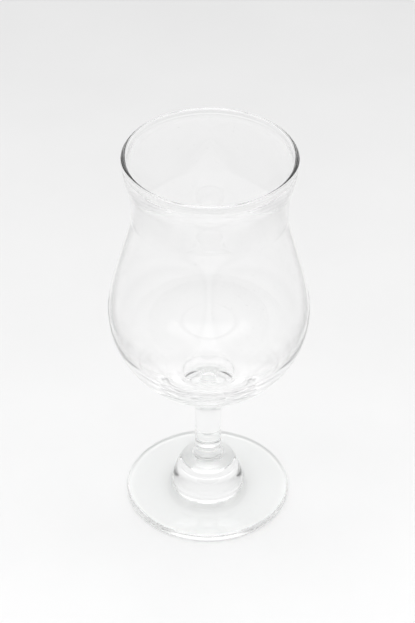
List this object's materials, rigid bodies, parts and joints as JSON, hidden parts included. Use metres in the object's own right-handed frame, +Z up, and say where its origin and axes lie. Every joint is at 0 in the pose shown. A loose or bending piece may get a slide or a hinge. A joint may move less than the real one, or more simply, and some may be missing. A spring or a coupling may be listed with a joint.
{
  "type": "cocktail glass",
  "caption": "Stemmed tulip cocktail glass with a round belly, narrow waist, flared melted rim, solid drawn neck, pressed knop and wide round foot.",
  "frame": {"origin": "centre of the ring that the foot stands on, on the surface under the glass", "axes": "+Z up along the glass's axis, from the foot to the mouth; the glass is round, so +X and +Y are any two level directions"},
  "size_m": [0.0848, 0.0848, 0.1782],
  "materials": {
    "bowl_glass": "clear, fire polished",
    "knop_glass": "clear, pressed and fire polished",
    "foot_glass": "clear, pressed and fire polished"
  },
  "bodies": {
    "root": {"bowl": "bowl_glass", "stem_knop": "knop_glass", "foot": "foot_glass"}
  },
  "joints": []
}
